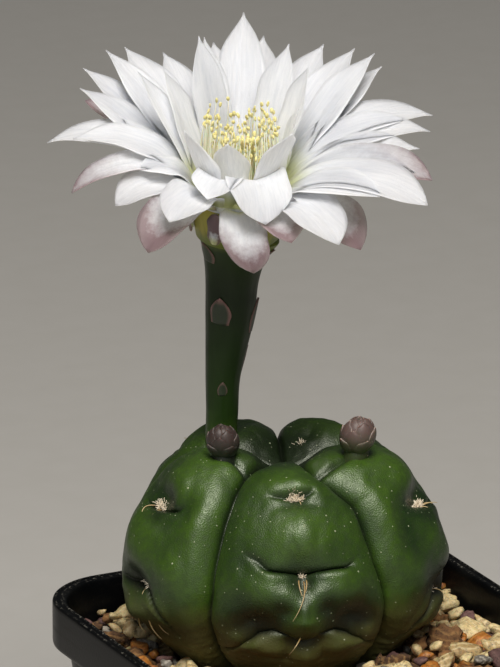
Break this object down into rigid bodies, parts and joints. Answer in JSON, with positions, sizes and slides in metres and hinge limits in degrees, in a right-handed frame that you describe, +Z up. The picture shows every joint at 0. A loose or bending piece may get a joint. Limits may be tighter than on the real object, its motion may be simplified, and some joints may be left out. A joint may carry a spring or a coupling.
{
  "type": "flowering cactus in a square pot",
  "caption": "Ribbed globe cactus with a tall white many-petalled flower and round buds, in a square black pot topped with gravel.",
  "frame": {"origin": "middle of the pot's base, on the surface that it stands on", "axes": "+Z up through the pot, X and Y along the pot's sides, -Y and -X towards the side that the front rib faces"},
  "size_m": [0.08, 0.084, 0.1817],
  "materials": {
    "pot_plastic": "matt moulded polypropylene with a light dust",
    "potting_soil": "damp dark compost",
    "gravel_stone": "dry flint and sandstone grit",
    "cactus_skin": "satin waxy skin",
    "bud_scales": "dull papery scales",
    "tube_skin": "satin fleshy skin",
    "petal_tissue": "soft silky petal",
    "stamen_tissue": "dry pollen on pale threads",
    "style_tissue": "moist pale stigma"
  },
  "bodies": {
    "root": {"pot": "pot_plastic", "soil": "potting_soil", "gravel": "gravel_stone", "cactus_body": "cactus_skin", "bud_right": "bud_scales", "bud_left": "bud_scales", "flower_tube": "tube_skin", "petals": "petal_tissue", "stamens": "stamen_tissue", "style": "style_tissue"}
  },
  "joints": []
}
